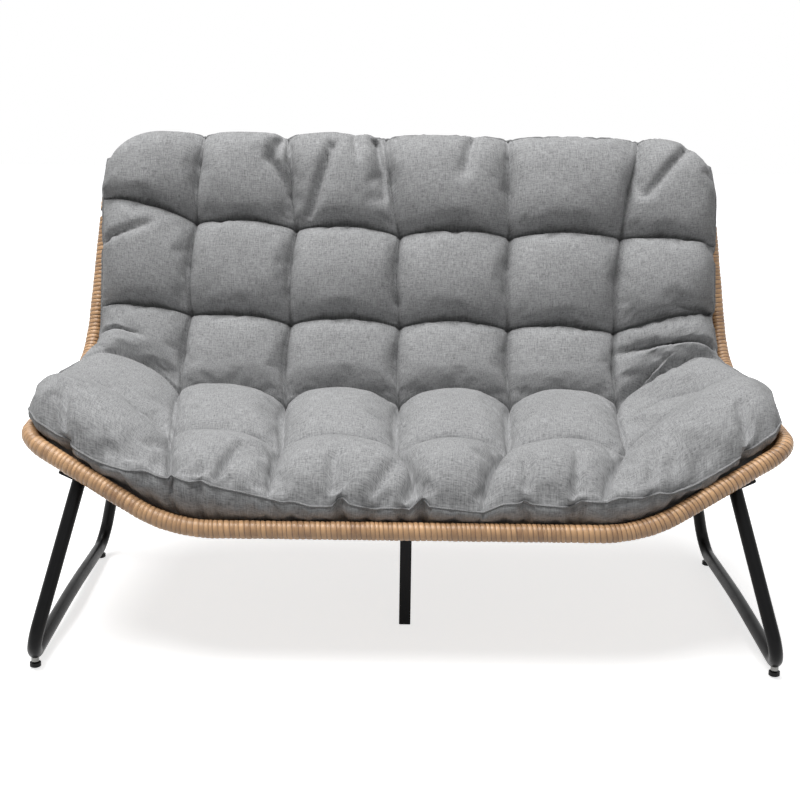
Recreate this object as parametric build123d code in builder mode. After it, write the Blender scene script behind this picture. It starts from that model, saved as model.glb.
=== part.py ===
from build123d import *
from math import acos, atan, cos, radians, sin, sqrt, tan
import os

os.makedirs("parts", exist_ok=True)

# Double scoop chair. Lengths are in millimetres and angles in degrees.
# X runs across the seat, Y from the front to the back, Z up from the floor.
# Side profiles are drawn from the line through the two front feet.

# Place of the origin, under the middle of the chair
feet_setback = 398.2

# Scoop of the seat: flat across the middle, raised at both sides
flat_half_width = 411.0
tip_half_width = 686.0
blend_run = 77.0

# Side profile at the middle: front edge, heel of the back, top edge
front_y = -8.0
front_height = 264.0
heel_y = 598.0
heel_height = 285.0
top_y = 820.0
top_height = 850.0
middle_bend_radius = 200.0

# How that profile changes from the flat middle to the raised tips
tip_setback = 113.0
tip_rise = 130.0
heel_shift = 35.0
heel_rise = 158.0
top_advance = 36.0
side_bend_radius = 146.0

# Wrapped rim
rim_heel_inset = 18.0
rim_top_inset = 46.0
rim_heel_half_width = tip_half_width - rim_heel_inset
rim_top_half_width = tip_half_width - rim_top_inset
tip_corner_radius = 70.0
top_corner_radius = 95.0
rim_tube_radius = 12.5
rim_tube_wall = 1.2
wrap_thickness = 3.8
wrap_clearance = 0.2
tube_joint_share = 0.5
front_wrap_share = 0.33
top_wrap_share = 0.72

# Woven skin and the tubes that carry it
skin_thickness = 4.0
seat_gap = 0.3
weld_gap = 0.05
crossbar_radius = 11.0
crossbar_wall = 1.5
front_crossbar_y = 136.0
middle_crossbar_y = 240.0
rear_crossbar_y = 563.0
rear_crossbar_slack = 2.6
lower_back_crossbar_height = 575.0
upper_back_crossbar_height = 735.0
stringer_radius = 9.0
stringer_wall = 1.2
stringer_x = 205.0
stringer_overhang = 16.0
stringer_slack = 4.0

# Leg hoops, bent in planes that lean in towards the top
leg_tube_radius = 12.5
leg_tube_wall = 1.5
leg_tilt = 13.2
leg_bend_radius = 45.0
front_lean = 27.0
rear_lean = 13.0
runner_height = 27.5
runner_slope = 2.6
runner_bend_radius = 2400.0

# Feet
foot_inset = 28.5
foot_half_width = tip_half_width - foot_inset
foot_spacing = 601.0
foot_offset = 10.0
foot_radius = 10.0
foot_height = 10.5
foot_dome = 3.5
foot_neck_radius = 5.0
foot_stem_radius = 4.0
foot_stem_length = 19.0
thread_clearance = 0.05
socket_radius = 7.0
socket_drop = 2.5
socket_length = 21.0
socket_clearance = 0.1

# Plates and bolts that hold the legs to the crossbars
plate_thickness = 4.0
plate_length = 74.0
plate_margin = 20.0
plate_corner_radius = 6.0
bolt_spread = 25.0
bolt_radius = 4.0
bolt_length = 20.0
bolt_head_radius = 6.5
bolt_head_height = 5.0
bolt_head_taper = 12.0
washer_radius = 8.5
washer_thickness = 1.6
bolt_hole_clearance = 0.3
nut_radius = 5.5
nut_length = 14.0

# Centre leg
centre_leg_width = 22.0
centre_leg_wall = 1.5
centre_plate_length = 70.0
centre_plate_width = 40.0
centre_cap_height = 3.0
centre_cap_plug = 16.0
centre_cap_round = 1.0

# Cushion: heights stand out from the middle of the skin
cushion_columns = 6
cushion_inset = 24.0
cushion_half_width = tip_half_width - cushion_inset
row_shares = [0.203, 0.444, 0.675, 0.85]
tuft_height = 56.0
crease_height = 80.0
seam_height = 53.0
valley_sag = 24.0
row_crowns = [58.0, 62.0, 58.0, 57.0, 60.0]
outer_crowns = [34.0, 32.0, 46.0, 50.0, 54.0]
top_overhang = 36.0
lip_run = 40.0
lip_rest_share = 1.1
lip_step = 0.5
skin_clear = 0.6
lift_start_share = 0.58
lift_end_share = 0.84
pocket_place_shares = [0, 0.16, 0.5, 0.84]
pocket_crown_shares = [0, 0.62, 1, 0.62]
edge_round_share = 0.45
edge_fullness_share = 0.4
welt_radius = 4.0
welt_stand = 2.5
welt_shoulder_radius = 120.0
welt_corner_radius = 14.0

# Cutting bodies run this far past what they cut
overrun = 40.0


def rise_share(x):
    """Share of the side rise at x: 0 across the flat middle, 1 at the tips."""
    reach = abs(x) - flat_half_width
    run = tip_half_width - flat_half_width
    if reach <= -blend_run:
        return 0
    if reach >= blend_run:
        return reach / run
    return (reach + blend_run) ** 2 / (4 * blend_run * run)


def rise_slant(x, rise):
    """Angle at which the sides slant up at x, where the whole rise is as given."""
    reach = (abs(x) - flat_half_width + blend_run) / (2 * blend_run)
    slope = rise / (tip_half_width - flat_half_width)
    return atan(slope * min(max(reach, 0), 1))


def below(direction):
    """The direction square to a profile line, on its underside."""
    return Vector(direction.Y, -direction.X).normalized()


def profile(share, drop=0):
    """Front edge, heel, top edge and bend radius of the side profile, dropped below the skin."""
    front = Vector(front_y + tip_setback * share, front_height + tip_rise * share)
    heel = Vector(heel_y + heel_shift * share, heel_height + heel_rise * share)
    top = Vector(top_y - top_advance * share, top_height)
    radius = middle_bend_radius + (side_bend_radius - middle_bend_radius) * share
    seat_below = below(heel - front)
    back_below = below(top - heel)
    heel_drop = drop / (1 + seat_below.dot(back_below))
    heel = heel + (seat_below + back_below) * heel_drop
    return front + seat_below * drop, heel, top + back_below * drop, radius + drop


def seat_point(share, y, drop):
    """The point of the dropped profile at depth y, on its seat line or its bend."""
    front, heel, top, radius = profile(share, drop)
    along = (heel - front).normalized()
    turn = acos(along.dot((top - heel).normalized()))
    bend_start = heel - along * (radius * tan(turn / 2))
    if y <= bend_start.X:
        return front + along * ((y - front.X) / along.X)
    centre = bend_start - below(along) * radius
    return Vector(y, centre.Y - sqrt(radius**2 - (y - centre.X) ** 2))


def back_point(share, height, drop):
    """The point of the dropped profile at a height, on its back line."""
    front, heel, top, radius = profile(share, drop)
    return heel + (top - heel) * ((height - heel.Y) / (top.Y - heel.Y))


def place(x, point):
    """A point of a side profile, set at x across the chair."""
    return Vector(x, point.X - feet_setback, point.Y)


def flip(point):
    """The same point on the other side of the chair."""
    return Vector(-point.X, point.Y, point.Z)


def side_plane(x):
    """The upright plane at x that side profiles are drawn in."""
    return Plane(origin=(x, -feet_setback, 0), x_dir=(0, 1, 0), z_dir=(1, 0, 0))


def between(start, end, share):
    """The point at a share of the way from start to end."""
    return start + (end - start) * share


def blend_radius(start, corner, end):
    """Radius of the soft bend at a corner where the sides start to rise."""
    turn = acos((corner - start).normalized().dot((end - corner).normalized()))
    return blend_run / tan(turn / 2)


def bent_bar(corners, radii, outer, inner=0, mode=Mode.ADD):
    """Sweep a round bar or tube along straight runs with rounded corners."""
    with BuildLine() as route:
        FilletPolyline(*corners, radius=radii)
    with BuildSketch(Plane(origin=route.line @ 0, z_dir=route.line % 0)) as section:
        Circle(outer)
        if inner > 0:
            Circle(inner, mode=Mode.SUBTRACT)
    sweep(section.sketch, path=route.line, mode=mode)


# Corners of the rim on the right side, and its two bends in the middle runs
front_bend = place(flat_half_width, profile(0)[0])
tip_corner = place(tip_half_width, profile(1)[0])
rim_heel_share = rise_share(rim_heel_half_width)
heel_corner = place(rim_heel_half_width, profile(rim_heel_share)[1])
heel_corner_radius = profile(rim_heel_share)[3]
top_corner = place(rim_top_half_width, profile(rise_share(rim_top_half_width))[2])
top_bend = place(flat_half_width, profile(0)[2])
front_bend_radius = blend_radius(flip(front_bend), front_bend, tip_corner)
top_bend_radius = blend_radius(flip(top_bend), top_bend, top_corner)


def front_run(side_share):
    """Corners and radii round the front of the rim, up to a share of each seat side."""
    side = between(tip_corner, heel_corner, side_share)
    right = [front_bend, tip_corner, side]
    radii = [front_bend_radius, tip_corner_radius]
    return [flip(p) for p in reversed(right)] + right, radii[::-1] + radii


def top_run(start_from, start_to, start_share, through_heel):
    """Corners and radii over the top of the rim, from a share of each side run."""
    side = between(start_from, start_to, start_share)
    right = [top_bend, top_corner] + ([heel_corner] if through_heel else []) + [side]
    radii = [top_bend_radius, top_corner_radius] + ([heel_corner_radius] if through_heel else [])
    return [flip(p) for p in reversed(right)] + right, radii[::-1] + radii


rim_radius = rim_tube_radius + wrap_clearance + wrap_thickness
sleeve_bore = rim_tube_radius + wrap_clearance
crossbar_drop = skin_thickness / 2 + seat_gap + crossbar_radius


def side_drop(rise):
    """Drop of a crossbar below the skin where the skin slants up at the sides."""
    return skin_thickness / 2 + seat_gap + crossbar_radius / cos(rise_slant(tip_half_width, rise))


def seat_crossbar(y, slack=0):
    """Corners of the crossbar at depth y under the seat, from rim to rim."""
    rise = seat_point(1, y, 0).Y - seat_point(0, y, 0).Y
    middle = place(flat_half_width, seat_point(0, y, crossbar_drop + slack))
    tip = place(tip_half_width, seat_point(1, y, side_drop(rise) + slack))
    side_share = (y - feet_setback - tip_corner.Y) / (heel_corner.Y - tip_corner.Y)
    rim_x = between(tip_corner, heel_corner, side_share).X
    end = between(middle, tip, (rim_x - middle.X) / (tip.X - middle.X))
    return [flip(end), flip(middle), middle, end]


def back_crossbar(height):
    """Corners of the crossbar at a height behind the back, from rim to rim."""
    middle = place(flat_half_width, back_point(0, height, crossbar_drop))
    tip = place(tip_half_width, back_point(1, height, crossbar_drop))
    side_share = (height - heel_corner.Z) / (top_corner.Z - heel_corner.Z)
    rim_x = between(heel_corner, top_corner, side_share).X
    end = between(middle, tip, (rim_x - middle.X) / (tip.X - middle.X))
    return [flip(end), flip(middle), middle, end]


def crossbar_bends(corners):
    """Bend radii of a crossbar, where the sides start to rise."""
    radius = blend_radius(corners[1], corners[2], corners[3])
    return [radius, radius]


crossbars = {
    "seat_crossbar_front": seat_crossbar(front_crossbar_y),
    "seat_crossbar_middle": seat_crossbar(middle_crossbar_y),
    "seat_crossbar_rear": seat_crossbar(rear_crossbar_y, rear_crossbar_slack),
    "back_crossbar_lower": back_crossbar(lower_back_crossbar_height),
    "back_crossbar_upper": back_crossbar(upper_back_crossbar_height),
}

# Rim tube, bent in two lengths that are welded end to end at the seat sides
lower_corners, lower_radii = front_run(tube_joint_share)
with BuildPart() as rim_tube_lower:
    bent_bar(lower_corners, lower_radii, rim_tube_radius, rim_tube_radius - rim_tube_wall)
rim_tube_lower.part.label = "rim_tube_lower"
export_step(rim_tube_lower.part, "parts/rim_tube_lower.step")

upper_corners, upper_radii = top_run(tip_corner, heel_corner, tube_joint_share, True)
with BuildPart() as rim_tube_upper:
    bent_bar(upper_corners, upper_radii, rim_tube_radius, rim_tube_radius - rim_tube_wall)
rim_tube_upper.part.label = "rim_tube_upper"
export_step(rim_tube_upper.part, "parts/rim_tube_upper.step")


def cut_crossbars(clearance):
    """Clear the crossbars' way to the rim tube."""
    for corners in crossbars.values():
        bent_bar(corners, crossbar_bends(corners), crossbar_radius + clearance, mode=Mode.SUBTRACT)


# Wrap of the rim: four sleeves of wound cane, open where the crossbars meet the tube
wrap_corners, wrap_radii = front_run(front_wrap_share)
with BuildPart() as rim_wrap_front:
    bent_bar(wrap_corners, wrap_radii, rim_radius, sleeve_bore)
    cut_crossbars(seat_gap)
rim_wrap_front.part.label = "rim_wrap_front"
export_step(rim_wrap_front.part, "parts/rim_wrap_front.step")

wrap_corners, wrap_radii = top_run(heel_corner, top_corner, top_wrap_share, False)
with BuildPart() as rim_wrap_top:
    bent_bar(wrap_corners, wrap_radii, rim_radius, sleeve_bore)
    cut_crossbars(seat_gap)
rim_wrap_top.part.label = "rim_wrap_top"
export_step(rim_wrap_top.part, "parts/rim_wrap_top.step")

side_start = between(tip_corner, heel_corner, front_wrap_share)
side_end = between(heel_corner, top_corner, top_wrap_share)
with BuildPart() as rim_wrap_right:
    bent_bar([side_start, heel_corner, side_end], [heel_corner_radius], rim_radius, sleeve_bore)
    cut_crossbars(seat_gap)
rim_wrap_right.part.label = "rim_wrap_right"
export_step(rim_wrap_right.part, "parts/rim_wrap_right.step")

with BuildPart() as rim_wrap_left:
    mirror(rim_wrap_right.part, about=Plane.YZ)
rim_wrap_left.part.label = "rim_wrap_left"
export_step(rim_wrap_left.part, "parts/rim_wrap_left.step")

# Woven skin: one sheet that spans the rim, through profiles from side to side
blend_shares = [-1, -2 / 3, -1 / 3, 0, 1 / 3, 2 / 3, 1]
rise_stations = [flat_half_width + blend_run * share for share in blend_shares]
skin_edge = tip_half_width + overrun
skin_stations = [-x for x in [skin_edge] + rise_stations[::-1]] + rise_stations + [skin_edge]


def skin_profile(share, drop):
    """A side profile of the skin that runs past the rim at both ends."""
    front, heel, top, radius = profile(share, drop)
    front = front - (heel - front).normalized() * overrun
    top = top + (top - heel).normalized() * overrun
    return FilletPolyline(front, heel, top, radius=radius)


with BuildPart() as skin_sheet:
    for x in skin_stations:
        with BuildSketch(side_plane(x)):
            with BuildLine():
                under = skin_profile(rise_share(x), skin_thickness / 2)
                over = skin_profile(rise_share(x), -skin_thickness / 2)
                Line(under @ 0, over @ 0)
                Line(under @ 1, over @ 1)
            make_face()
    loft(ruled=True)
    cut_corners, cut_radii = front_run(tube_joint_share + (1 - tube_joint_share) / 4)
    bent_bar(cut_corners, cut_radii, rim_radius + seat_gap, mode=Mode.SUBTRACT)
    bent_bar(upper_corners, upper_radii, rim_radius + seat_gap, mode=Mode.SUBTRACT)

with BuildPart() as wicker_skin:
    add(skin_sheet.part.solids().sort_by(SortBy.VOLUME)[-1])
wicker_skin.part.label = "wicker_skin"
export_step(wicker_skin.part, "parts/wicker_skin.step")


def plate_frame(corners):
    """Plane of a leg plate's top face, under the slanting end of a crossbar."""
    middle, end = corners[2], corners[3]
    slope = (end.Z - middle.Z) / (end.X - middle.X)
    lean = tan(radians(leg_tilt))
    level = middle.Z - (crossbar_radius + weld_gap) * sqrt(1 + slope**2)
    reach = foot_half_width - middle.X + lean * foot_axis_height
    height = (level + slope * reach) / (1 + slope * lean)
    x = foot_half_width - lean * (height - foot_axis_height)
    along = Vector(1, 0, slope).normalized()
    normal = Vector(-slope, 0, 1).normalized()
    return Plane(origin=(x, middle.Y, height), x_dir=along, z_dir=normal)


foot_axis_rise = leg_bend_radius - sqrt(leg_bend_radius**2 - foot_offset**2)
foot_axis_height = (runner_height + foot_axis_rise) * cos(radians(leg_tilt))
front_plate_frame = plate_frame(crossbars["seat_crossbar_front"])
rear_plate_frame = plate_frame(crossbars["seat_crossbar_rear"])
centre_plate_height = crossbars["seat_crossbar_middle"][2].Z - crossbar_radius - weld_gap
centre_plate_frame = Plane(origin=(0, middle_crossbar_y - feet_setback, centre_plate_height))


def mirrored(plane):
    """The same plane on the left side of the chair."""
    return Plane(
        origin=(-plane.origin.X, plane.origin.Y, plane.origin.Z),
        x_dir=(plane.x_dir.X, 0, -plane.x_dir.Z),
        z_dir=(-plane.z_dir.X, 0, plane.z_dir.Z),
    )


bolt_frames = {
    "seat_crossbar_front": [front_plate_frame, mirrored(front_plate_frame)],
    "seat_crossbar_middle": [centre_plate_frame],
    "seat_crossbar_rear": [rear_plate_frame, mirrored(rear_plate_frame)],
}


def bolt_planes(frames):
    """Planes of the two bolts in each plate, on the plate's top face."""
    return [
        Plane(origin=frame.origin + frame.x_dir * side * bolt_spread, x_dir=frame.x_dir, z_dir=frame.z_dir)
        for frame in frames
        for side in (-1, 1)
    ]


# Crossbars, with their ends notched to fit round the rim tube
for name, corners in crossbars.items():
    with BuildPart() as crossbar:
        bent_bar(corners, crossbar_bends(corners), crossbar_radius, crossbar_radius - crossbar_wall)
        bent_bar(lower_corners, lower_radii, rim_tube_radius + weld_gap, mode=Mode.SUBTRACT)
        bent_bar(upper_corners, upper_radii, rim_tube_radius + weld_gap, mode=Mode.SUBTRACT)
        for plane in bolt_planes(bolt_frames.get(name, [])):
            with BuildSketch(plane.offset(-crossbar_radius)):
                Circle(nut_radius + socket_clearance)
            extrude(amount=2 * crossbar_radius, mode=Mode.SUBTRACT)
    crossbar.part.label = name
    export_step(crossbar.part, "parts/" + name + ".step")

# Two stringers welded under the crossbars, from the front of the seat to the top of the back
stringer_drop = skin_thickness / 2 + seat_gap + 2 * crossbar_radius + weld_gap + stringer_radius
stringer_start = seat_point(0, front_crossbar_y - stringer_overhang, stringer_drop)
stringer_end = back_point(0, upper_back_crossbar_height + stringer_overhang, stringer_drop)
stringer_heel, stringer_bend = profile(0, stringer_drop + stringer_slack)[1::2]
for name, x in (("stringer_right", stringer_x), ("stringer_left", -stringer_x)):
    with BuildPart() as stringer:
        stringer_corners = [place(x, p) for p in (stringer_start, stringer_heel, stringer_end)]
        bent_bar(stringer_corners, [stringer_bend], stringer_radius, stringer_radius - stringer_wall)
    stringer.part.label = name
    export_step(stringer.part, "parts/" + name + ".step")


def leg_plane():
    """The leaning plane of the right leg hoop: forward depth across, lean height up."""
    lean = radians(leg_tilt)
    x = foot_half_width + foot_axis_height * tan(lean)
    return Plane(origin=(x, -feet_setback, 0), x_dir=(0, 1, 0), z_dir=(cos(lean), 0, sin(lean)))


def foot_corner(lean):
    """Corner of the hoop's axis beyond a foot, as a reach outwards and a height."""
    slope = radians(runner_slope)
    turn = radians(90 + lean - runner_slope)
    tangent = leg_bend_radius * tan(turn / 2)
    reach = tangent * cos(slope) - leg_bend_radius * sin(slope) - foot_offset
    rise = leg_bend_radius - tangent * sin(slope) - leg_bend_radius * cos(slope)
    return reach, runner_height + rise


def upright_end(frame, corner, lean, inward, past=0):
    """Where a hoop upright meets the underside of its plate, or a length past it."""
    height = (frame.origin.Z - plate_thickness) / cos(radians(leg_tilt)) + past
    return Vector(corner.X + inward * (height - corner.Y) * tan(radians(lean)), height)


front_reach, front_low = foot_corner(front_lean)
rear_reach, rear_low = foot_corner(rear_lean)
front_corner = Vector(-front_reach, front_low)
rear_corner = Vector(foot_spacing + rear_reach, rear_low)
runner_middle = (rear_corner.X - front_corner.X) / 2
runner_crest = Vector(
    front_corner.X + runner_middle, front_corner.Y + runner_middle * tan(radians(runner_slope))
)
plate_frames = {"front": front_plate_frame, "rear": rear_plate_frame}
upright_ends = {
    "front": upright_end(front_plate_frame, front_corner, front_lean, 1),
    "rear": upright_end(rear_plate_frame, rear_corner, rear_lean, -1),
}
hoop_corners = [
    upright_end(front_plate_frame, front_corner, front_lean, 1, overrun),
    front_corner,
    runner_crest,
    rear_corner,
    upright_end(rear_plate_frame, rear_corner, rear_lean, -1, overrun),
]
foot_places = {"front": -feet_setback, "rear": foot_spacing - feet_setback}
socket_bottom = foot_axis_height - leg_tube_radius - socket_drop

# Leg hoops: one bent tube each, from the front plate down, along the floor and up to the rear plate
hoop_radii = [leg_bend_radius, runner_bend_radius, leg_bend_radius]
with BuildPart() as leg_hoop_right:
    leaning_corners = [leg_plane().from_local_coords(corner) for corner in hoop_corners]
    bent_bar(leaning_corners, hoop_radii, leg_tube_radius, leg_tube_radius - leg_tube_wall)
    for end, frame in plate_frames.items():
        with BuildSketch(frame.offset(-plate_thickness - weld_gap)):
            with Locations((0, upright_ends[end].X - frame.origin.Y - feet_setback)):
                Rectangle(4 * overrun, 4 * overrun)
        extrude(amount=2 * overrun, mode=Mode.SUBTRACT)
    for y in foot_places.values():
        with BuildSketch(Plane.XY):
            with Locations((foot_half_width, y)):
                Circle(socket_radius + socket_clearance)
        extrude(amount=foot_axis_height, mode=Mode.SUBTRACT)
leg_hoop_right.part.label = "leg_hoop_right"
export_step(leg_hoop_right.part, "parts/leg_hoop_right.step")

with BuildPart() as leg_hoop_left:
    mirror(leg_hoop_right.part, about=Plane.YZ)
leg_hoop_left.part.label = "leg_hoop_left"
export_step(leg_hoop_left.part, "parts/leg_hoop_left.step")

# Levelling feet and the threaded sockets in the hoops that they screw into
for end, y in foot_places.items():
    for side, x in (("left", -foot_half_width), ("right", foot_half_width)):
        with BuildPart() as socket:
            with BuildSketch(Plane.XY.offset(socket_bottom)):
                with Locations((x, y)):
                    Circle(socket_radius)
                    Circle(foot_stem_radius + thread_clearance, mode=Mode.SUBTRACT)
            extrude(amount=socket_length)
        socket.part.label = "foot_socket_" + end + "_" + side
        export_step(socket.part, "parts/foot_socket_" + end + "_" + side + ".step")

        with BuildPart() as foot:
            with BuildSketch(Plane.XZ.offset(-y)):
                with BuildLine(Plane.XZ.offset(-y)):
                    Polyline(
                        (x + foot_radius, foot_dome),
                        (x + foot_radius, foot_height),
                        (x + foot_neck_radius, foot_height),
                        (x + foot_neck_radius, socket_bottom - seat_gap),
                        (x + foot_stem_radius, socket_bottom - seat_gap),
                        (x + foot_stem_radius, socket_bottom + foot_stem_length),
                        (x, socket_bottom + foot_stem_length),
                        (x, 0),
                    )
                    dome_radius = (foot_radius**2 + foot_dome**2) / (2 * foot_dome)
                    RadiusArc((x, 0), (x + foot_radius, foot_dome), -dome_radius)
                make_face()
            revolve(axis=Axis((x, y, 0), (0, 0, 1)))
        foot.part.label = "foot_" + end + "_" + side
        export_step(foot.part, "parts/foot_" + end + "_" + side + ".step")


# Leg plates, welded to the hoops and bolted up to the crossbars
for end, frame in plate_frames.items():
    crossbar_depth = frame.origin.Y + feet_setback
    plate_start = min(upright_ends[end].X, crossbar_depth) - plate_margin
    plate_end = max(upright_ends[end].X, crossbar_depth) + plate_margin
    plate_shift = (plate_start + plate_end) / 2 - crossbar_depth
    for side, plate_plane in (("right", frame), ("left", mirrored(frame))):
        with BuildPart() as plate:
            with BuildSketch(plate_plane):
                with Locations((0, plate_shift)):
                    RectangleRounded(plate_length, plate_end - plate_start, plate_corner_radius)
                with Locations((-bolt_spread, 0), (bolt_spread, 0)):
                    Circle(bolt_radius + bolt_hole_clearance, mode=Mode.SUBTRACT)
            extrude(amount=-plate_thickness)
        plate.part.label = "leg_plate_" + end + "_" + side
        export_step(plate.part, "parts/leg_plate_" + end + "_" + side + ".step")

# Centre leg: a square tube with a plate on top and a cap underneath
with BuildPart() as centre_plate:
    with BuildSketch(centre_plate_frame):
        RectangleRounded(centre_plate_length, centre_plate_width, plate_corner_radius)
        with Locations((-bolt_spread, 0), (bolt_spread, 0)):
            Circle(bolt_radius + bolt_hole_clearance, mode=Mode.SUBTRACT)
    extrude(amount=-plate_thickness)
centre_plate.part.label = "centre_leg_plate"
export_step(centre_plate.part, "parts/centre_leg_plate.step")

centre_y = middle_crossbar_y - feet_setback
centre_leg_bore = centre_leg_width - 2 * centre_leg_wall
centre_leg_bottom = centre_cap_height + weld_gap
centre_leg_top = centre_plate_height - plate_thickness - weld_gap
with BuildPart() as centre_leg:
    with BuildSketch(Plane.XY.offset(centre_leg_bottom)):
        with Locations((0, centre_y)):
            RectangleRounded(centre_leg_width, centre_leg_width, centre_leg_wall)
            Rectangle(centre_leg_bore, centre_leg_bore, mode=Mode.SUBTRACT)
    extrude(amount=centre_leg_top - centre_leg_bottom)
centre_leg.part.label = "centre_leg"
export_step(centre_leg.part, "parts/centre_leg.step")

with BuildPart() as centre_leg_cap:
    with BuildSketch():
        with Locations((0, centre_y)):
            RectangleRounded(centre_leg_width, centre_leg_width, centre_leg_wall)
    extrude(amount=centre_cap_height)
    chamfer(centre_leg_cap.faces().sort_by(Axis.Z)[0].edges(), centre_cap_round)
    with BuildSketch(Plane.XY.offset(centre_cap_height)):
        with Locations((0, centre_y)):
            Rectangle(centre_leg_bore - 2 * socket_clearance, centre_leg_bore - 2 * socket_clearance)
    extrude(amount=centre_cap_plug)
centre_leg_cap.part.label = "centre_leg_cap"
export_step(centre_leg_cap.part, "parts/centre_leg_cap.step")

# Fasteners: a bolt and a washer under each plate, a nut inside the crossbar above it
fastener_planes = [plane for frames in bolt_frames.values() for plane in bolt_planes(frames)]
washer_top = -plate_thickness - weld_gap
head_top = washer_top - washer_thickness - weld_gap
with BuildPart() as plate_washers:
    for plane in fastener_planes:
        with BuildSketch(plane.offset(washer_top)):
            Circle(washer_radius)
            Circle(bolt_radius + bolt_hole_clearance, mode=Mode.SUBTRACT)
        extrude(amount=-washer_thickness)
plate_washers.part.label = "plate_washers"
export_step(plate_washers.part, "parts/plate_washers.step")

with BuildPart() as plate_bolts:
    for plane in fastener_planes:
        with BuildSketch(plane.offset(head_top)):
            Circle(bolt_head_radius)
        extrude(amount=-bolt_head_height, taper=bolt_head_taper)
        with BuildSketch(plane.offset(head_top)):
            Circle(bolt_radius)
        extrude(amount=bolt_length)
plate_bolts.part.label = "plate_bolts"
export_step(plate_bolts.part, "parts/plate_bolts.step")

with BuildPart() as crossbar_nuts:
    for plane in fastener_planes:
        with BuildSketch(plane.offset(crossbar_wall)):
            Circle(nut_radius)
            Circle(bolt_radius + thread_clearance, mode=Mode.SUBTRACT)
        extrude(amount=nut_length)
crossbar_nuts.part.label = "crossbar_nuts"
export_step(crossbar_nuts.part, "parts/crossbar_nuts.step")

# Cushion: five rows and six columns of tufted pockets, drawn in to a welt all round
column_width = 2 * cushion_half_width / cushion_columns


def cushion_stations():
    """Places across the cushion with their crown share, fullness share and row crowns."""
    stations = []
    for column in range(cushion_columns):
        left = column * column_width - cushion_half_width
        outer_left = column == 0
        outer_right = column == cushion_columns - 1
        for across, crown_share in zip(pocket_place_shares, pocket_crown_shares):
            fullness_share = 1
            if outer_left:
                fullness_share = edge_fullness(across)
            if outer_right:
                fullness_share = edge_fullness(1 - across)
            crowns = outer_crowns if outer_left or outer_right else row_crowns
            stations.append((left + across * column_width, crown_share, fullness_share, crowns))
    stations.append((cushion_half_width, 0, edge_fullness(0), outer_crowns))
    return stations


def edge_fullness(across):
    """Fullness of an outer pocket, rounded off over the part of it next to the edge."""
    reach = min(across / edge_round_share, 1)
    return edge_fullness_share + (1 - edge_fullness_share) * sqrt(1 - (1 - reach) ** 2)


def edge_lift(x):
    """Share by which the underside lifts off the skin to pass over the side rim."""
    across = 1 - (cushion_half_width - abs(x)) / column_width
    return min(max((across - lift_start_share) / (lift_end_share - lift_start_share), 0), 1)


def pocket_arc(start, end, sag):
    """An arc over one pocket, standing out from the chord by its sag."""
    middle = between(start, end, 1 / 2)
    return ThreePointArc(start, middle - below(end - start) * sag, end)


def cushion_section(x, crown_share, fullness_share, crowns):
    """Draw the cushion's closed side profile at x."""
    front, heel, top, radius = profile(rise_share(x))
    with BuildLine(mode=Mode.PRIVATE) as skin_line:
        FilletPolyline(front, heel, top, radius=radius)
    spine = skin_line.line
    rim_rest = (rim_radius + seat_gap) / cos(rise_slant(x, heel_rise))
    skin_rest = skin_thickness / 2 + skin_clear
    rest = skin_rest + (rim_rest - lip_step - skin_rest) * edge_lift(x)

    def full(height):
        return rim_rest + (height - rim_rest) * fullness_share

    def over(share, height, along=0):
        direction = spine % share
        return spine @ share - below(direction) * height + direction * along

    rows = [tuft_height + (crease_height - tuft_height) * crown_share for _ in row_shares]
    knots = [over(0, full(seam_height))]
    knots += [over(share, full(row)) for share, row in zip(row_shares, rows)]
    knots += [over(1, full(seam_height), top_overhang * fullness_share)]
    for start, end, crown in zip(knots, knots[1:], crowns):
        sag = valley_sag + (crown - valley_sag) * crown_share
        pocket_arc(start, end, sag * fullness_share)
    top_lip = over(1, rim_rest * lip_rest_share)
    front_lip = over(0, rim_rest * lip_rest_share)
    seat_front, seat_heel, seat_top, seat_radius = profile(rise_share(x), -rest)
    seat_start = seat_front + (seat_heel - seat_front).normalized() * lip_run
    seat_end = seat_top + (seat_heel - seat_top).normalized() * lip_run
    Line(knots[-1], top_lip)
    Line(top_lip, seat_end)
    FilletPolyline(seat_end, seat_heel, seat_start, radius=seat_radius)
    Line(seat_start, front_lip)
    Line(front_lip, knots[0])


with BuildPart() as cushion:
    for station in cushion_stations():
        with BuildSketch(side_plane(station[0])):
            with BuildLine():
                cushion_section(*station)
            make_face()
    loft(ruled=True)
cushion.part.label = "cushion"
export_step(cushion.part, "parts/cushion.step")


def seam_corner(x, at_top, out=0):
    """Corner of the welt at x, on the front or the top seam, moved outwards."""
    share = rise_share(x)
    across = (cushion_half_width - abs(x)) / column_width
    fullness_share = edge_fullness(max(across, 0))
    rim_rest = (rim_radius + seat_gap) / cos(rise_slant(x, heel_rise))
    height = rim_rest + (seam_height - rim_rest) * fullness_share
    front, heel, top, radius = profile(share, -height)
    if at_top:
        return top + (top - heel).normalized() * (top_overhang * fullness_share + out)
    return front + (front - heel).normalized() * out


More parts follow.
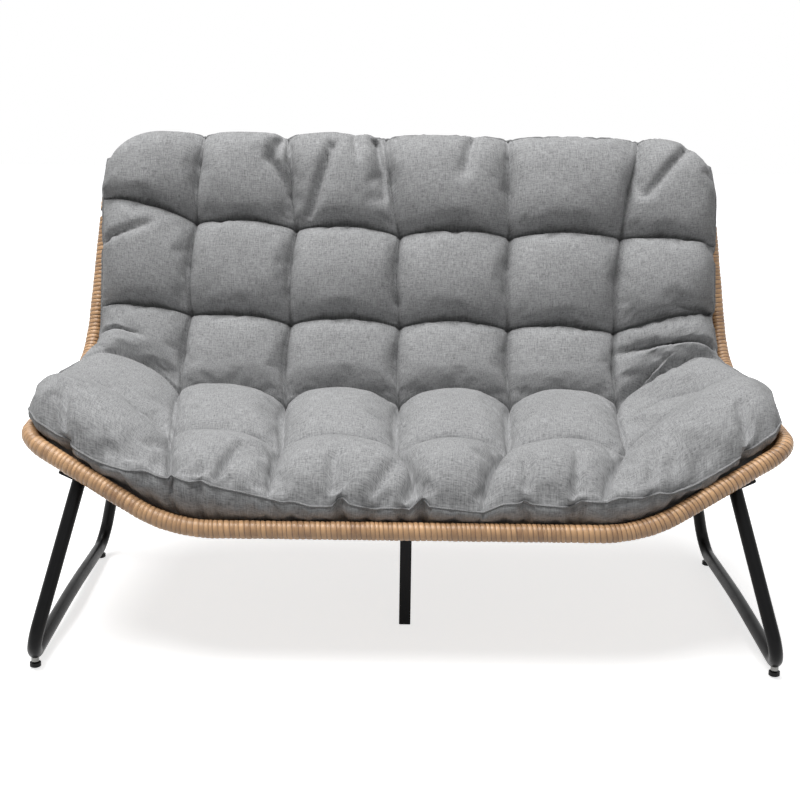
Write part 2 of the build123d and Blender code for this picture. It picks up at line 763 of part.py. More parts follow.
# Welt: a piping sewn all round the seam, seated against the cushion
welt_x = cushion_half_width + welt_stand
shoulder_x = cushion_half_width - edge_round_share * column_width
edge_rest = (rim_radius + seat_gap) / cos(rise_slant(welt_x, heel_rise))
edge_height = edge_rest + (seam_height - edge_rest) * edge_fullness_share
welt_heel, welt_bend = profile(rise_share(welt_x), -edge_height)[1::2]
right_welt = [
    place(flat_half_width, seam_corner(0, False, welt_stand)),
    place(shoulder_x, seam_corner(shoulder_x, False, welt_stand)),
    place(welt_x, seam_corner(welt_x, False, welt_stand)),
    place(welt_x, welt_heel),
    place(welt_x, seam_corner(welt_x, True, welt_stand)),
    place(shoulder_x, seam_corner(shoulder_x, True, welt_stand)),
    place(flat_half_width, seam_corner(0, True, welt_stand)),
]
right_radii = [
    blend_radius(flip(right_welt[0]), right_welt[0], right_welt[1]),
    welt_shoulder_radius,
    welt_corner_radius,
    welt_bend,
    welt_corner_radius,
    welt_shoulder_radius,
    blend_radius(flip(right_welt[6]), right_welt[6], right_welt[5]),
]
with BuildPart() as cushion_welt:
    with BuildLine() as welt_route:
        corners = right_welt + [flip(p) for p in reversed(right_welt)]
        FilletPolyline(*corners, radius=right_radii + right_radii[::-1], close=True)
    with BuildSketch(Plane(origin=welt_route.line @ 0, z_dir=welt_route.line % 0)):
        Circle(welt_radius)
    sweep(path=welt_route.line)
    add(cushion.part, mode=Mode.SUBTRACT)
cushion_welt.part.label = "cushion_welt"
export_step(cushion_welt.part, "parts/cushion_welt.step")
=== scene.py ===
import math
import bpy
import numpy as np
from mathutils import Matrix, Vector


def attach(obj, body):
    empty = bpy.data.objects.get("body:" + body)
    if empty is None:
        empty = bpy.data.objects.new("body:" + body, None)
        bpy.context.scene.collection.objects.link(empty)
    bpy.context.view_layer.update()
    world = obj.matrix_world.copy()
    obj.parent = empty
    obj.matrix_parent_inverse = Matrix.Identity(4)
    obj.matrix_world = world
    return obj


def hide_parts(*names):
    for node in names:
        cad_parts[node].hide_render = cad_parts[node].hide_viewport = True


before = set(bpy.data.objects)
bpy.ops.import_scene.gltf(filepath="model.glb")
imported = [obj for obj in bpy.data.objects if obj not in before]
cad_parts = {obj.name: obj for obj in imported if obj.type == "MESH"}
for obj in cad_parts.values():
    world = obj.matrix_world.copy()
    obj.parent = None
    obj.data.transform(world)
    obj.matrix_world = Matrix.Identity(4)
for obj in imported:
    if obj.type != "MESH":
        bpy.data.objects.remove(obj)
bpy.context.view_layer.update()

# The scoop's sizes in metres, as the CAD part has them. FRONT, HEEL and TOP are (depth, height) in the
# middle; the side profile changes from there to the tips by the TIP, HEEL and TOP values below.
SETBACK = 0.3982
FLAT_HALF, TIP_HALF, BLEND_RUN = 0.411, 0.686, 0.077
FRONT, HEEL, TOP = (-0.008, 0.264), (0.598, 0.285), (0.820, 0.850)
TIP_SETBACK, TIP_RISE, HEEL_SHIFT, HEEL_RISE, TOP_ADVANCE = 0.113, 0.130, 0.035, 0.158, 0.036
MIDDLE_BEND, SIDE_BEND = 0.200, 0.146
RIM_HEEL_HALF, RIM_TOP_HALF = 0.668, 0.640
TIP_CORNER, TOP_CORNER = 0.070, 0.095


def rise_share(x):
    """Share of the side rise at x: 0 across the flat middle, 1 at the tips."""
    reach = np.abs(x) - FLAT_HALF
    run = TIP_HALF - FLAT_HALF
    soft = (reach + BLEND_RUN) ** 2 / (4 * BLEND_RUN * run)
    return np.where(reach <= -BLEND_RUN, 0, np.where(reach >= BLEND_RUN, reach / run, soft))


def profile(x):
    """Front, heel and top of the scoop's side profile at x, as (depth, height), and its bend radius."""
    g = rise_share(x)
    front = FRONT[0] + TIP_SETBACK * g, FRONT[1] + TIP_RISE * g
    heel = HEEL[0] + HEEL_SHIFT * g, HEEL[1] + HEEL_RISE * g
    top = TOP[0] - TOP_ADVANCE * g, TOP[1] + 0 * g
    return front, heel, top, MIDDLE_BEND + (SIDE_BEND - MIDDLE_BEND) * g


def skin(x, s):
    """Depth, height and direction of the scoop's side profile at x, at share s of its length."""
    (fy, fz), (hy, hz), (ty, tz), r = profile(x)
    seat, back = np.hypot(hy - fy, hz - fz), np.hypot(ty - hy, tz - hz)
    ay, az = (hy - fy) / seat, (hz - fz) / seat
    by, bz = (ty - hy) / back, (tz - hz) / back
    turn = np.arccos(np.clip(ay * by + az * bz, -1, 1))
    cut = r * np.tan(turn / 2)
    arc = r * turn
    along = s * (seat + back - 2 * cut + arc)
    in_seat = along - (seat - cut)
    in_back = in_seat - arc
    angle = np.clip(in_seat / r, 0, turn)
    start_y, start_z = hy - ay * cut, hz - az * cut
    centre_y, centre_z = start_y - az * r, start_z + ay * r
    bend_y = centre_y + r * (az * np.cos(angle) + ay * np.sin(angle))
    bend_z = centre_z + r * (-ay * np.cos(angle) + az * np.sin(angle))
    dir_y = ay * np.cos(angle) - az * np.sin(angle)
    dir_z = az * np.cos(angle) + ay * np.sin(angle)
    y = np.where(in_seat < 0, fy + ay * along, bend_y + dir_y * np.maximum(in_back, 0))
    z = np.where(in_seat < 0, fz + az * along, bend_z + dir_z * np.maximum(in_back, 0))
    return y, z, dir_y, dir_z


def off_skin(x, s, height, along=0.0):
    """Points at a height above the scoop's skin, moved along its profile."""
    y, z, dy, dz = skin(x, s)
    depth = y - dz * height + dy * along - SETBACK
    return np.stack([x + 0 * y, depth, z + dy * height + dz * along], -1)


def skin_normal(x, s):
    """Unit vectors that stand up from the scoop's skin."""
    return off_skin(x, s, 1.0) - off_skin(x, s, 0.0)


def unit(vectors):
    """Vectors of length one along the last axis."""
    return vectors / np.linalg.norm(vectors, axis=-1, keepdims=True)


NOISE_GAIN = 1.6  # brings the spline noise back to about -1 to 1


def spline_weights(count, cells):
    """For each of a row of points, its cell and the four cubic spline weights of the cell's corners."""
    t = np.linspace(0, cells - 1e-6, count)
    cell = t.astype(int)
    f = t - cell
    parts = [(1 - f) ** 3, 3 * f**3 - 6 * f**2 + 4, -3 * f**3 + 3 * f**2 + 3 * f + 1, f**3]
    return cell, np.stack(parts, 1) / 6


def smooth_noise(shape, cells, seed):
    """Smooth noise from about -1 to 1 on a grid, with the given number of cells each way."""
    source = np.random.default_rng(seed).uniform(-1, 1, (cells[0] + 3, cells[1] + 3))
    cell_u, weight_u = spline_weights(shape[0], cells[0])
    cell_v, weight_v = spline_weights(shape[1], cells[1])
    out = np.zeros(shape)
    for a in range(4):
        for b in range(4):
            out += weight_u[:, a, None] * weight_v[None, :, b] * source[cell_u + a][:, cell_v + b]
    return out * NOISE_GAIN


def new_mesh(name, verts, faces):
    """A smooth mesh object from arrays of points and of faces."""
    mesh = bpy.data.meshes.new(name)
    faces = np.asarray(faces)
    mesh.vertices.add(len(verts))
    mesh.vertices.foreach_set("co", np.asarray(verts, np.float32).ravel())
    mesh.loops.add(faces.size)
    mesh.loops.foreach_set("vertex_index", faces.astype(np.int32).ravel())
    mesh.polygons.add(len(faces))
    starts = np.arange(len(faces), dtype=np.int32) * faces.shape[1]
    mesh.polygons.foreach_set("loop_start", starts)
    mesh.update(calc_edges=True)
    mesh.polygons.foreach_set("use_smooth", np.ones(len(faces), bool))
    obj = bpy.data.objects.new(name, mesh)
    bpy.context.scene.collection.objects.link(obj)
    return obj


def attribute(obj, name, values):
    """Store a vector for each point of a mesh, for its material to read."""
    data = obj.data.attributes.new(name, "FLOAT_VECTOR", "POINT")
    data.data.foreach_set("vector", np.asarray(values, np.float32).ravel())


def grid_faces(nu, nv, first=0, close_u=False, close_v=False):
    """Quads of a grid of points, nu by nv, that can close on itself."""
    index = first + np.arange(nu * nv).reshape(nu, nv)
    if close_u:
        index = np.vstack([index, index[:1]])
    if close_v:
        index = np.hstack([index, index[:, :1]])
    corners = [index[:-1, :-1], index[1:, :-1], index[1:, 1:], index[:-1, 1:]]
    return np.stack(corners, -1).reshape(-1, 4)


# Camera, at the photo's angle: turns in degrees, places and sizes in metres (the sensor's in millimetres)
CAMERA_PITCH, CAMERA_ROLL, CAMERA_YAW = 12.78, -0.80, -0.21
CAMERA_PLACE = (-0.025, -2.498 - SETBACK, 1.063)
SENSOR_WIDTH, LENS, CLIP_END = 36, 67.5, 50


def photo_camera():
    """Set up the camera and the colour view."""
    pitch, roll, yaw = (math.radians(turn) for turn in (CAMERA_PITCH, CAMERA_ROLL, CAMERA_YAW))
    level = np.array([1, 0, 0])
    down = np.array([0, -math.sin(pitch), -math.cos(pitch)])
    ahead = np.array([0, math.cos(pitch), -math.sin(pitch)])
    right = math.cos(roll) * level + math.sin(roll) * down
    down = -math.sin(roll) * level + math.cos(roll) * down
    turned = np.array([[math.cos(yaw), -math.sin(yaw), 0], [math.sin(yaw), math.cos(yaw), 0], [0, 0, 1]])
    right, down, ahead = np.stack([right, down, ahead]) @ turned.T
    rows = [(right[i], -down[i], -ahead[i], CAMERA_PLACE[i]) for i in range(3)]
    camera = bpy.data.objects.new("camera", bpy.data.cameras.new("camera"))
    bpy.context.scene.collection.objects.link(camera)
    camera.data.sensor_width = SENSOR_WIDTH
    camera.data.lens = LENS
    camera.data.clip_end = CLIP_END
    camera.matrix_world = Matrix((*rows, (0, 0, 0, 1)))
    bpy.context.scene.camera = camera
    bpy.context.scene.view_settings.view_transform = "Standard"


photo_camera()


class Shader:
    """A small helper that builds one node material."""

    def __init__(self, name):
        self.material = bpy.data.materials.new(name)
        self.material.use_nodes = True
        self.tree = self.material.node_tree
        self.bsdf = self.tree.nodes["Principled BSDF"]

    def feed(self, socket, value):
        """Link a socket to another node's output, or give it a constant."""
        if isinstance(value, bpy.types.NodeSocket):
            self.tree.links.new(value, socket)
        else:
            socket.default_value = value

    def node(self, kind, inputs=None, **settings):
        """A new shader node with its settings and inputs."""
        made = self.tree.nodes.new("ShaderNode" + kind)
        for key, value in settings.items():
            setattr(made, key, value)
        for key, value in (inputs or {}).items():
            self.feed(made.inputs[key], value)
        return made

    def set(self, **values):
        """Feed the main shader's inputs, each named with underscores for its spaces."""
        for key, value in values.items():
            self.feed(self.bsdf.inputs[key.replace("_", " ")], value)

    def maths(self, operation, a, b=0.0):
        """One step of maths on one or two values."""
        made = self.node("Math", operation=operation)
        self.feed(made.inputs[0], a)
        self.feed(made.inputs[1], b)
        return made.outputs[0]

    def attribute(self, name):
        """The vector that each point of the mesh carries under a name."""
        return self.node("Attribute", attribute_name=name).outputs["Vector"]

    def place(self):
        """The place on the object, in metres."""
        return self.node("TexCoord").outputs["Object"]

    def scaled(self, vector, scale):
        """A vector with each part of it scaled."""
        return self.node("Mapping", {"Vector": vector, "Scale": scale}).outputs[0]

    def noise(self, vector, scale, detail, roughness=0.6):
        """Smooth noise of a vector."""
        inputs = {"Vector": vector, "Scale": scale, "Detail": detail, "Roughness": roughness}
        return self.node("TexNoise", inputs).outputs["Fac"]

    def ramp(self, value, stops):
        """Colours blended between stops, each a place from 0 to 1 and a colour."""
        made = self.node("ValToRGB", {"Fac": value})
        points = made.color_ramp.elements
        while len(points) < len(stops):
            points.new(0.5)
        for point, (position, colour) in zip(points, stops):
            point.position = position
            point.color = (*colour, 1)
        return made.outputs["Color"]

    def span(self, value, low, high, to_low, to_high):
        """A value brought from one range into another, held at its ends."""
        made = self.node("MapRange", {"Value": value, "From Min": low, "From Max": high,
                                      "To Min": to_low, "To Max": to_high})
        return made.outputs[0]

    def mix(self, factor, a, b, blend="MIX"):
        """Two colours mixed by a factor."""
        made = self.node("Mix", data_type="RGBA", blend_type=blend)
        for i, value in ((0, factor), (6, a), (7, b)):
            self.feed(made.inputs[i], (*value, 1) if isinstance(value, tuple) else value)
        return made.outputs[2]

    def bump(self, height, strength, distance):
        """Relief of the main shader, from a height."""
        made = self.node("Bump", {"Height": height, "Strength": strength, "Distance": distance})
        self.tree.links.new(made.outputs[0], self.bsdf.inputs["Normal"])


def shade(colour, share, most=1.0):
    """A colour made darker or lighter by a share, up to a limit."""
    return tuple(min(share * part, most) for part in colour)


def cloth_material(name, tone):
    """Grey heathered cloth: a plain weave of uneven yarns, lighter and darker.

    The noises are stretched along the yarns of either direction: fine for the yarns, longer for slubs.
    """
    m = Shader(name)
    flat = m.attribute("cloth")
    across = m.noise(m.scaled(flat, (150, 1300, 1)), 1.0, 3.0)
    along = m.noise(m.scaled(flat, (1300, 150, 1)), 1.0, 3.0)
    slubs = m.noise(m.scaled(flat, (48, 560, 1)), 1.0, 2.0, 0.5)
    slubs_up = m.noise(m.scaled(flat, (560, 48, 1)), 1.0, 2.0, 0.5)
    broad = m.noise(flat, 9.0, 3.0, 0.5)
    yarn = m.maths("ADD", across, along)
    slub = m.maths("ADD", slubs, slubs_up)
    both = m.maths("ADD", m.maths("MULTIPLY", yarn, 0.6), m.maths("MULTIPLY", slub, 0.4))
    heather = m.ramp(m.span(both, 0.78, 1.22, 0, 1),
                     [(0.0, shade(tone, 0.50)), (0.5, tone), (1.0, shade(tone, 1.52, 0.9))])
    worn = m.ramp(broad, [(0.3, (0.93, 0.93, 0.93)), (0.7, (1.05, 1.05, 1.05))])
    m.set(Base_Color=m.mix(1.0, heather, worn, "MULTIPLY"), Roughness=0.93, Sheen_Weight=0.12,
          Sheen_Roughness=0.5, Specular_IOR_Level=0.2)
    m.bump(both, 0.6, 0.0005)
    return m.material


def cane_material(name, light, dark, streak):
    """Split cane: tan strips that vary along their length, with fine fibres and dark nodes, and painted shade
    along the edges where strips meet.

    The mesh's "cane" vector holds the place along the winding, in turns, and across a strip, from 0 to 1.
    """
    m = Shader(name)
    cane = m.attribute("cane")
    strip = m.node("SeparateXYZ", {"Vector": cane})
    turn = m.noise(m.scaled(cane, (1.7, 0.04, 1)), 1.0, 2.0)
    group = m.noise(m.scaled(cane, (0.13, 0.02, 1)), 1.0, 3.0)
    tone = m.maths("ADD", m.maths("MULTIPLY", turn, 0.55), m.maths("MULTIPLY", group, 0.45))
    fibre = m.noise(m.scaled(cane, (5.0, 26, 1)), 1.0, 3.0)
    spots = m.noise(m.scaled(cane, (2.4, 1.6, 3)), 1.0, 4.0, 0.65)
    edge = m.maths("ABSOLUTE", m.maths("SUBTRACT", strip.outputs[1], 0.5))
    middle = tuple(0.5 * (a + b) for a, b in zip(light, dark))
    base = m.ramp(m.span(tone, 0.37, 0.64, 0, 1),
                  [(0.0, dark), (0.32, middle), (0.6, light), (1.0, shade(light, 1.25, 0.95))])
    lined = m.mix(m.span(fibre, 0.35, 0.7, 0.0, 0.45), base, streak)
    spotted = m.mix(m.span(spots, 0.60, 0.76, 0.0, 0.75), lined, shade(dark, 0.55))
    # Painted shade: the outer parts of each strip darken almost to black, standing in for the shade in the
    # grooves between strips
    shaded = m.mix(m.span(edge, 0.31, 0.49, 0.0, 0.90), spotted, shade(dark, 0.3))
    m.set(Base_Color=shaded, Roughness=m.span(fibre, 0.2, 0.8, 0.34, 0.58), Coat_Weight=0.30,
          Coat_Roughness=0.22)
    m.bump(fibre, 0.35, 0.0005)
    return m.material


def steel_material():
    """Black powder-coated steel with a fine orange peel."""
    m = Shader("black_powder_coat")
    place = m.place()
    grain = m.noise(place, 900.0, 3.0)
    wear = m.noise(place, 14.0, 4.0)
    m.set(Base_Color=m.ramp(wear, [(0.3, (0.004, 0.004, 0.0045)), (0.8, (0.009, 0.009, 0.0095))]),
          Roughness=m.span(wear, 0.3, 0.7, 0.30, 0.42), Specular_IOR_Level=0.12)
    m.bump(grain, 0.18, 0.0004)
    return m.material


def plain_material(name, dark, light, rough, metal=0.0):
    """Moulded plastic or plated steel with slight mottling and a fine grain."""
    m = Shader(name)
    grain = m.noise(m.place(), 240.0, 4.0)
    m.set(Base_Color=m.ramp(grain, [(0.3, dark), (0.7, light)]),
          Roughness=m.span(grain, 0.3, 0.7, *rough), Metallic=metal, Specular_IOR_Level=0.2)
    m.bump(grain, 0.2, 0.0004)
    return m.material


cloth = cloth_material("heather_cloth", (0.356, 0.358, 0.362))
welt_cloth = cloth_material("welt_cloth", (0.26, 0.262, 0.265))
cane = cane_material("split_cane", (0.64, 0.37, 0.183), (0.24, 0.112, 0.048), (0.76, 0.50, 0.28))
wicker = cane_material("woven_cane", (0.52, 0.31, 0.15), (0.25, 0.125, 0.05), (0.62, 0.42, 0.23))
steel = steel_material()
plastic = plain_material("black_plastic", (0.006, 0.006, 0.006), (0.012, 0.012, 0.012), (0.4, 0.55))
zinc = plain_material("zinc_plate", (0.16, 0.16, 0.155), (0.25, 0.25, 0.24), (0.35, 0.5), 1.0)


def give(obj, material):
    """Replace every material of an object."""
    obj.data.materials.clear()
    obj.data.materials.append(material)


# Materials of the CAD pieces; further down, finer pieces stand in for the rim's sleeves, skin and cushion
PLASTIC = ("foot_front_left", "foot_front_right", "foot_rear_left", "foot_rear_right", "centre_leg_cap")
for name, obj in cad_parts.items():
    if name in PLASTIC:
        give(obj, plastic)
    elif name.startswith("foot_socket") or name == "crossbar_nuts":
        give(obj, zinc)
    else:
        give(obj, steel)


# Rim path: straight runs with rounded corners, closed on itself
def place_at(x, point):
    """A place in the frame from x and a (depth, height) of the side profile."""
    return np.array([x, point[0] - SETBACK, point[1]])


def blend_radius(a, b, c):
    """Corner radius at b whose arc starts BLEND_RUN before the corner, between straight runs."""
    u, v = unit(b - a), unit(c - b)
    return BLEND_RUN / math.tan(math.acos(u @ v) / 2)


def lengths_along(points):
    """Length of a path from its start to each of its points."""
    return np.concatenate([[0], np.cumsum(np.linalg.norm(np.diff(points, axis=0), axis=1))])


def interpolated(places, samples, vectors):
    """Vectors at places along a path, from their values at its samples."""
    return np.stack([np.interp(places, samples, vectors[:, i]) for i in range(3)], -1)


def rounded(corners, radii, step):
    """Evenly spaced points along straight runs with rounded corners, and the length of the path."""
    points = [corners[0]]
    for a, b, c, r in zip(corners, corners[1:], corners[2:], radii):
        u, v = unit(b - a), unit(c - b)
        turn = math.acos(np.clip(u @ v, -1, 1))
        cut = r * math.tan(turn / 2)
        side = unit(v - u * (u @ v))
        centre = b - u * cut + side * r
        for angle in np.linspace(0, turn, max(int(math.degrees(turn)), 4)):
            points.append(centre - side * r * math.cos(angle) + u * r * math.sin(angle))
    points.append(corners[-1])
    points = np.array(points)
    length = lengths_along(points)
    places = np.linspace(0, length[-1], max(int(length[-1] / step), 2))
    return interpolated(places, length, points), length[-1]


def carried_frames(points):
    """Two directions across a path at each point, carried along without twist."""
    tangents = unit(np.gradient(points, axis=0))
    across = np.cross(tangents[0], [0.3, 0.2, 1.0])
    frames = []
    for t in tangents:
        across = unit(across - t * (across @ t))
        frames.append(across)
    frames = np.array(frames)
    return frames, np.cross(tangents, frames)


# Cane winding, in metres
AROUND = 28  # points round the tube
STRIP_PLACES = np.array([0.0, 0.07, 0.3, 0.6, 0.9])  # section of a strip: shares of its width
STRIP_HEIGHTS = np.array([-0.45, 0.42, 0.95, 1.0, 0.55]) * 0.001  # and its heights there
PATH_STEP = 0.002
CANE_RADIUS = 0.0152  # of the winding, before the heights of its strips
NARROW, WIDE = 0.0066, 0.0112  # narrowest and widest strip
OVERRUN = 0.004  # how far the last strip may pass the sleeve's end
LIFT_SPREAD, SLOPE_SPREAD = 0.35, 0.22  # how strips differ in height and slope, in millimetres
LIFT_LOW, LIFT_HIGH = -0.0006, 0.0008
TONE_SHIFT = 40.0  # keeps the noises of the sleeves apart

# Where the side sleeves start and end: shares of the side's lower and upper straight run
SIDE_FROM, SIDE_TO = 0.33, 0.72


def between(a, b, share):
    """The place at a share of the way from a to b."""
    return a + (b - a) * share


def wound_sleeve(name, node, corners, radii, seed):
    """Split cane wound round the rim tube, each turn lying against the last."""
    path, length = rounded(corners, radii, PATH_STEP)
    chance = np.random.default_rng(seed)
    widths = chance.uniform(NARROW, WIDE, int(length / NARROW) + 4)
    edges = np.concatenate([[0], np.cumsum(widths)])
    edges = edges[edges < length + OVERRUN]
    turns = len(edges) - 2
    lift = np.convolve(chance.normal(0, LIFT_SPREAD, turns + 9), np.ones(2) / 2, "same")[:turns + 2] * 0.001
    tilt = chance.normal(0, SLOPE_SPREAD, turns + 2) * 0.001
    angle = np.linspace(0, 2 * np.pi, AROUND, endpoint=False)

    # Each strip climbs by its own width in one turn, so its edges meet those of its neighbours
    strip = np.arange(turns)[:, None, None]
    place = STRIP_PLACES[None, :, None]
    wound = (angle / (2 * np.pi))[None, None, :]
    low = between(edges[strip], edges[strip + 1], wound)
    high = between(edges[strip + 1], edges[strip + 2], wound)
    along = np.clip(low + (high - low) * place, 0.0, length)
    steady = np.clip(lift[strip] * (1 - wound) + lift[strip + 1] * wound, LIFT_LOW, LIFT_HIGH)
    slope = tilt[strip] * (1 - wound) + tilt[strip + 1] * wound
    radius = CANE_RADIUS + STRIP_HEIGHTS[None, :, None] + steady + slope * (place - 0.5)
    samples = np.linspace(0, length, len(path))
    middle, one, two = (interpolated(along, samples, values) for values in (path, *carried_frames(path)))
    spin = angle[None, None, :, None]
    points = middle + (one * np.cos(spin) + two * np.sin(spin)) * radius[..., None]

    # The last point of each turn joins the first of the next one
    step = len(STRIP_PLACES)
    rows = turns * step
    index = np.arange(rows * AROUND).reshape(rows, AROUND)
    wrap = index[np.minimum(np.arange(rows) + step, rows - 1), 0]
    a = np.hstack([index[:-1], wrap[:-1, None]])
    b = np.hstack([index[1:], wrap[1:, None]])
    quads = np.stack([a[:, :-1], a[:, 1:], b[:, 1:], b[:, :-1]], -1)[:-step].reshape(-1, 4)
    obj = new_mesh(name, points.reshape(-1, 3), quads)
    turn_place = strip + wound + 0 * place + seed * TONE_SHIFT
    values = np.broadcast_arrays(turn_place, place, 0.0)
    attribute(obj, "cane", np.stack(values, -1))
    give(obj, cane)
    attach(obj, "frame")
    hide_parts(node)


def wind_rim():
    """The four wound sleeves of the rim: front, the two sides, and top."""
    mirror = np.array([-1, 1, 1])
    front_bend = place_at(FLAT_HALF, FRONT)
    tip_corner = place_at(TIP_HALF, profile(TIP_HALF)[0])
    heel_corner = place_at(RIM_HEEL_HALF, profile(RIM_HEEL_HALF)[1])
    top_corner = place_at(RIM_TOP_HALF, profile(RIM_TOP_HALF)[2])
    top_bend = place_at(FLAT_HALF, TOP)
    side_start = between(tip_corner, heel_corner, SIDE_FROM)
    side_end = between(heel_corner, top_corner, SIDE_TO)

    def both_sides(*corners):
        return [corner * mirror for corner in corners] + list(corners[::-1])

    side = [side_start, heel_corner, side_end]
    side_radii = [profile(RIM_HEEL_HALF)[3]]
    front_blend = blend_radius(front_bend * mirror, front_bend, tip_corner)
    top_blend = blend_radius(top_bend * mirror, top_bend, top_corner)
    wound_sleeve("cane_wrap_front", "rim_wrap_front", both_sides(side_start, tip_corner, front_bend),
                 [TIP_CORNER, front_blend, front_blend, TIP_CORNER], 1)
    wound_sleeve("cane_wrap_right", "rim_wrap_right", side, side_radii, 2)
    wound_sleeve("cane_wrap_left", "rim_wrap_left", [corner * mirror for corner in side], side_radii, 3)
    wound_sleeve("cane_wrap_top", "rim_wrap_top", both_sides(side_end, top_corner, top_bend),
                 [TOP_CORNER, top_blend, top_blend, TOP_CORNER], 4)


wind_rim()


# Woven skin: flat cane woven over and under ribs, across the whole scoop
SKIN_SHARES = [0.0, 0.005, 0.011, 0.019, 0.029, 0.04, 0.5, 0.9, 0.937, 0.959, 0.977, 0.991, 1.0]
SKIN_HALVES = [0.640, 0.654, 0.662, 0.667, 0.671, 0.674, 0.660, 0.636, 0.631, 0.621, 0.606, 0.586, 0.556]
STRANDS, PER_STRAND = 196, 3  # strands of cane, and rows of points in each
RIBS, PER_RIB = 46, 5
SKIN_START, SKIN_END = 0.006, 0.994
CANE_HALF, CANE_CROWN, WEAVE_DEPTH = 0.0007, 0.0013, 0.0011
WEAVE_GAIN, WEAVE_LEAST = 1.6, 0.15  # the waves run over almost the whole width of a strand
TONE_PER_STRAND, TONE_ACROSS = 7.31, 6


def woven_skin():
    """The woven skin as one closed sheet, with the weave on both of its faces."""
    rows = STRANDS * PER_STRAND + 1
    columns = RIBS * PER_RIB + 1
    s = np.linspace(SKIN_START, SKIN_END, rows)[:, None]
    u = np.linspace(-1, 1, columns)[None, :]
    x = u * np.interp(s, SKIN_SHARES, SKIN_HALVES)
    strand = (np.arange(rows) // PER_STRAND)[:, None]
    within = ((np.arange(rows) % PER_STRAND) / PER_STRAND)[:, None]
    crown = np.sin(np.pi * within) * CANE_CROWN
    side = np.where(strand % 2 == 0, 1, -1)
    weave = np.cos(np.pi * (np.arange(columns) / PER_RIB))[None, :] * side
    weave = weave * np.minimum(1, WEAVE_GAIN * np.sin(np.pi * within) + WEAVE_LEAST)
    front = CANE_HALF + crown + weave * WEAVE_DEPTH
    back = -CANE_HALF - crown + weave * WEAVE_DEPTH
    faces = [off_skin(x, s + 0 * x, height).reshape(-1, 3) for height in (front, back)]
    count = rows * columns
    ring = np.concatenate([np.arange(columns), np.arange(1, rows) * columns + columns - 1,
                           (rows - 1) * columns + np.arange(columns - 2, -1, -1),
                           np.arange(rows - 2, 0, -1) * columns])
    after = np.roll(ring, -1)
    rim = np.stack([ring, after, after + count, ring + count], -1)
    quads = [grid_faces(rows, columns)[:, ::-1], grid_faces(rows, columns, count), rim]
    obj = new_mesh("woven_skin", np.concatenate(faces), np.concatenate(quads))
    tone = strand * TONE_PER_STRAND + x * TONE_ACROSS
    values = np.stack([tone + 0 * x, within + 0 * x, 0 * x], -1).reshape(-1, 3)
    attribute(obj, "cane", np.concatenate([values, values]))
    give(obj, wicker)
    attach(obj, "frame")
    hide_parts("wicker_skin")


woven_skin()


# Cushion: thirty tufted pockets over the scoop, each pulled down at its corners. A place on it is told in
# pocket numbers (p across from the left, q up from the front), in x, or in share s of the scoop's profile.
# The tufts lie where the photo shows them, and so do the ends of the creases on the four edges
COLUMNS, ROWS = 6, 5
TUFT_X = np.array([[-0.446, -0.236, -0.022, 0.190, 0.415], [-0.466, -0.250, -0.015, 0.216, 0.436],
                   [-0.456, -0.246, -0.016, 0.212, 0.436], [-0.450, -0.238, -0.018, 0.216, 0.452]])
TUFT_S = np.array([[0.206, 0.184, 0.180, 0.184, 0.180], [0.474, 0.488, 0.494, 0.486, 0.470],
                   [0.682, 0.676, 0.674, 0.672, 0.662], [0.856, 0.850, 0.840, 0.840, 0.838]])
LEFT_S = np.array([0.190, 0.400, 0.655, 0.890])
RIGHT_S = np.array([0.250, 0.500, 0.655, 0.800])
FRONT_X = np.array([-0.413, -0.243, 0.020, 0.128, 0.338])
TOP_X = np.array([-0.440, -0.262, -0.052, 0.212, 0.490])

# Height of the crowns in each row, in metres, and half widths of the cushion along the scoop
CROWNS = np.array([0.040, 0.050, 0.050, 0.048, 0.052])
ARM_CROWNS = np.array([0.040, 0.006, 0.030, 0.040, 0.046])
EDGE_SHARES = [0.0, 0.03, 0.15, 0.30, 0.42, 0.50, 0.60, 0.80, 0.93, 1.0]
LEFT_HALVES = [0.664, 0.684, 0.688, 0.679, 0.664, 0.648, 0.642, 0.646, 0.650, 0.642]
RIGHT_HALVES = [0.654, 0.672, 0.683, 0.678, 0.665, 0.650, 0.645, 0.648, 0.652, 0.642]

# Heights over the skin, in metres: at the tufts, on the creases, how far a crease is drawn in, at the bottom
TUFT, CREASE, NOTCH, REST = 0.056, 0.080, 0.012, 0.005
FIRST_CREASE_DROP = 0.032  # how much lower the first cross crease is at the arms
TOP_REACH, SCALLOP_OUT, SCALLOP_IN = 0.033, 0.004, 0.010  # past the scoop's top edge, and its scallops
TOP_FROM, TOP_RUN = 4.2, 0.8  # rows over which that reach comes on
LENGTH = 1.25  # metres that a share of 1 is long
LUMPS = [((60, 54), 5, 0.0012), ((22, 20), 6, 0.003)]  # unevenness: cells each way, seed, height

# Points of the cover in each pocket, and rows of points down its skirt
PER_COLUMN = 34
PER_ROW = np.array([38, 46, 36, 32, 32])
SKIRT = 8
ON_LINE = 1e-6

# How the grid bows between the tufts, told at the six lines up the cushion: how far the lines that run up
# bow sideways, in metres, and how far the cross lines arch, in shares, in the middle and at the arms
SIDE_BOW = [0, 0.003, 0.006, 0.008, 0.006, 0]
ARCH = [0, 0.004, 0.006, 0.011, 0.009, 0]
LEFT_ARCH = [0, 0.025, 0.045, 0.008, 0.006, 0]
RIGHT_ARCH = [0, 0.06, 0.02, 0.008, 0.006, 0]
CORNER_FROM, CORNER_RUN = 0.52, 0.11
TOP_ROUNDING, FRONT_ROUNDING = 0.050, 0.012

